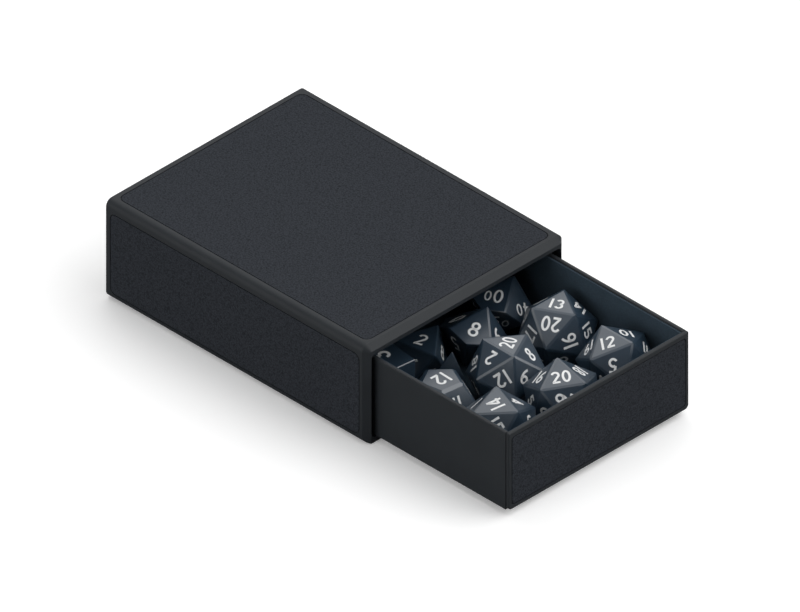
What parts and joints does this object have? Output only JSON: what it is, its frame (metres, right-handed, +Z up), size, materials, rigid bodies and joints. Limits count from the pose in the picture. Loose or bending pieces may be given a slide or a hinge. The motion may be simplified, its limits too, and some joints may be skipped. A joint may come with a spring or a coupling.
{
  "type": "dice box",
  "caption": "Sleeve box with bevelled mouth and let-in textured panels; a lined drawer slides out of it, holding loose polyhedral dice for tabletop games.",
  "frame": {"origin": "middle of the sleeve's underside, on the surface that it rests on", "axes": "+Z up; -Y the way the drawer slides out; +X to the right of someone who looks at the drawer's front"},
  "size_m": [0.082, 0.1617, 0.0344],
  "materials": {
    "smooth_leatherette": "smooth black leatherette over board",
    "textured_leatherette": "fine-grained black leatherette",
    "navy_lining": "short-napped navy lining",
    "die_resin": "satin slate resin with white numbers"
  },
  "bodies": {
    "sleeve": {"sleeve_back": "smooth_leatherette", "sleeve_bottom": "smooth_leatherette", "sleeve_left": "smooth_leatherette", "sleeve_right": "smooth_leatherette", "sleeve_top": "smooth_leatherette", "panel_top": "textured_leatherette", "panel_left": "textured_leatherette", "panel_right": "textured_leatherette", "panel_back": "textured_leatherette"},
    "drawer": {"drawer_floor": "smooth_leatherette", "drawer_front": "smooth_leatherette", "drawer_left": "smooth_leatherette", "drawer_rear": "smooth_leatherette", "drawer_right": "smooth_leatherette", "panel_drawer_front": "textured_leatherette", "lining_floor": "navy_lining", "lining_front": "navy_lining", "lining_left": "navy_lining", "lining_rear": "navy_lining", "lining_right": "navy_lining", "die_10": "die_resin", "die_10_tens": "die_resin", "die_4": "die_resin", "die_6": "die_resin", "die_8": "die_resin"},
    "loose_die_20_a": {"die_20_a": "die_resin"},
    "loose_die_20_b": {"die_20_b": "die_resin"},
    "loose_die_20_c": {"die_20_c": "die_resin"},
    "loose_die_20_d": {"die_20_d": "die_resin"},
    "loose_die_20_e": {"die_20_e": "die_resin"},
    "loose_die_12": {"die_12": "die_resin"}
  },
  "joints": [
    {"name": "drawer_slide", "type": "slide", "parent": "sleeve", "child": "drawer", "axis": [0, -1, 0], "range_m": [-0.0544, 0.06]},
    {"name": "die_20_a_lift", "type": "slide", "parent": "drawer", "child": "loose_die_20_a", "axis": [0, 0, 1], "range_m": [0, 0.035]},
    {"name": "die_20_b_lift", "type": "slide", "parent": "drawer", "child": "loose_die_20_b", "axis": [0, 0, 1], "range_m": [0, 0.035]},
    {"name": "die_20_c_lift", "type": "slide", "parent": "drawer", "child": "loose_die_20_c", "axis": [0, 0, 1], "range_m": [0, 0.035]},
    {"name": "die_20_d_lift", "type": "slide", "parent": "drawer", "child": "loose_die_20_d", "axis": [0, 0, 1], "range_m": [0, 0.035]},
    {"name": "die_20_e_lift", "type": "slide", "parent": "drawer", "child": "loose_die_20_e", "axis": [0, 0, 1], "range_m": [0, 0.035]},
    {"name": "die_12_lift", "type": "slide", "parent": "drawer", "child": "loose_die_12", "axis": [0, 0, 1], "range_m": [0, 0.035]}
  ]
}
